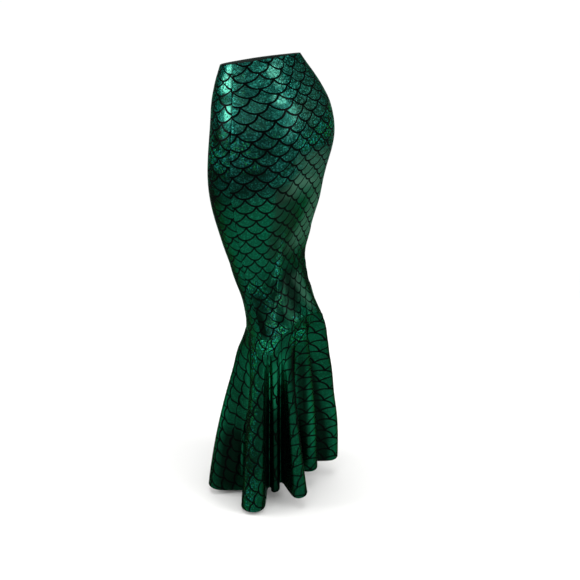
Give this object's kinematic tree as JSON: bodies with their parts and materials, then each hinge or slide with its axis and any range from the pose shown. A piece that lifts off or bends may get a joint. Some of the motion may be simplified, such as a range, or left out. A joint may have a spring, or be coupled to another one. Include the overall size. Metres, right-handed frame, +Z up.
{
  "type": "mermaid fishtail skirt",
  "caption": "Long hollow skirt, fitted from waist to below the knee and flaring there into a full fluted flounce, in green fish-scale foil cloth, kept in its worn form.",
  "frame": {"origin": "Centre of the waist opening, on its middle plane, where the wearer holds the skirt up. The skirt is modelled as worn, standing upright.", "axes": "+Z up along the skirt's length, -Y to the wearer's front, +X to the wearer's left"},
  "size_m": [0.3456, 0.32, 1.1736],
  "materials": {
    "front_foil": "emerald foil stretch knit with a black fish-scale print, glossy and speckled",
    "back_foil": "emerald foil stretch knit with a black fish-scale print, glossy and speckled",
    "flounce_foil": "emerald foil stretch knit with a black fish-scale print, matt dark reverse"
  },
  "bodies": {
    "root": {"front_panel": "front_foil", "back_panel": "back_foil", "flounce": "flounce_foil"}
  },
  "joints": []
}
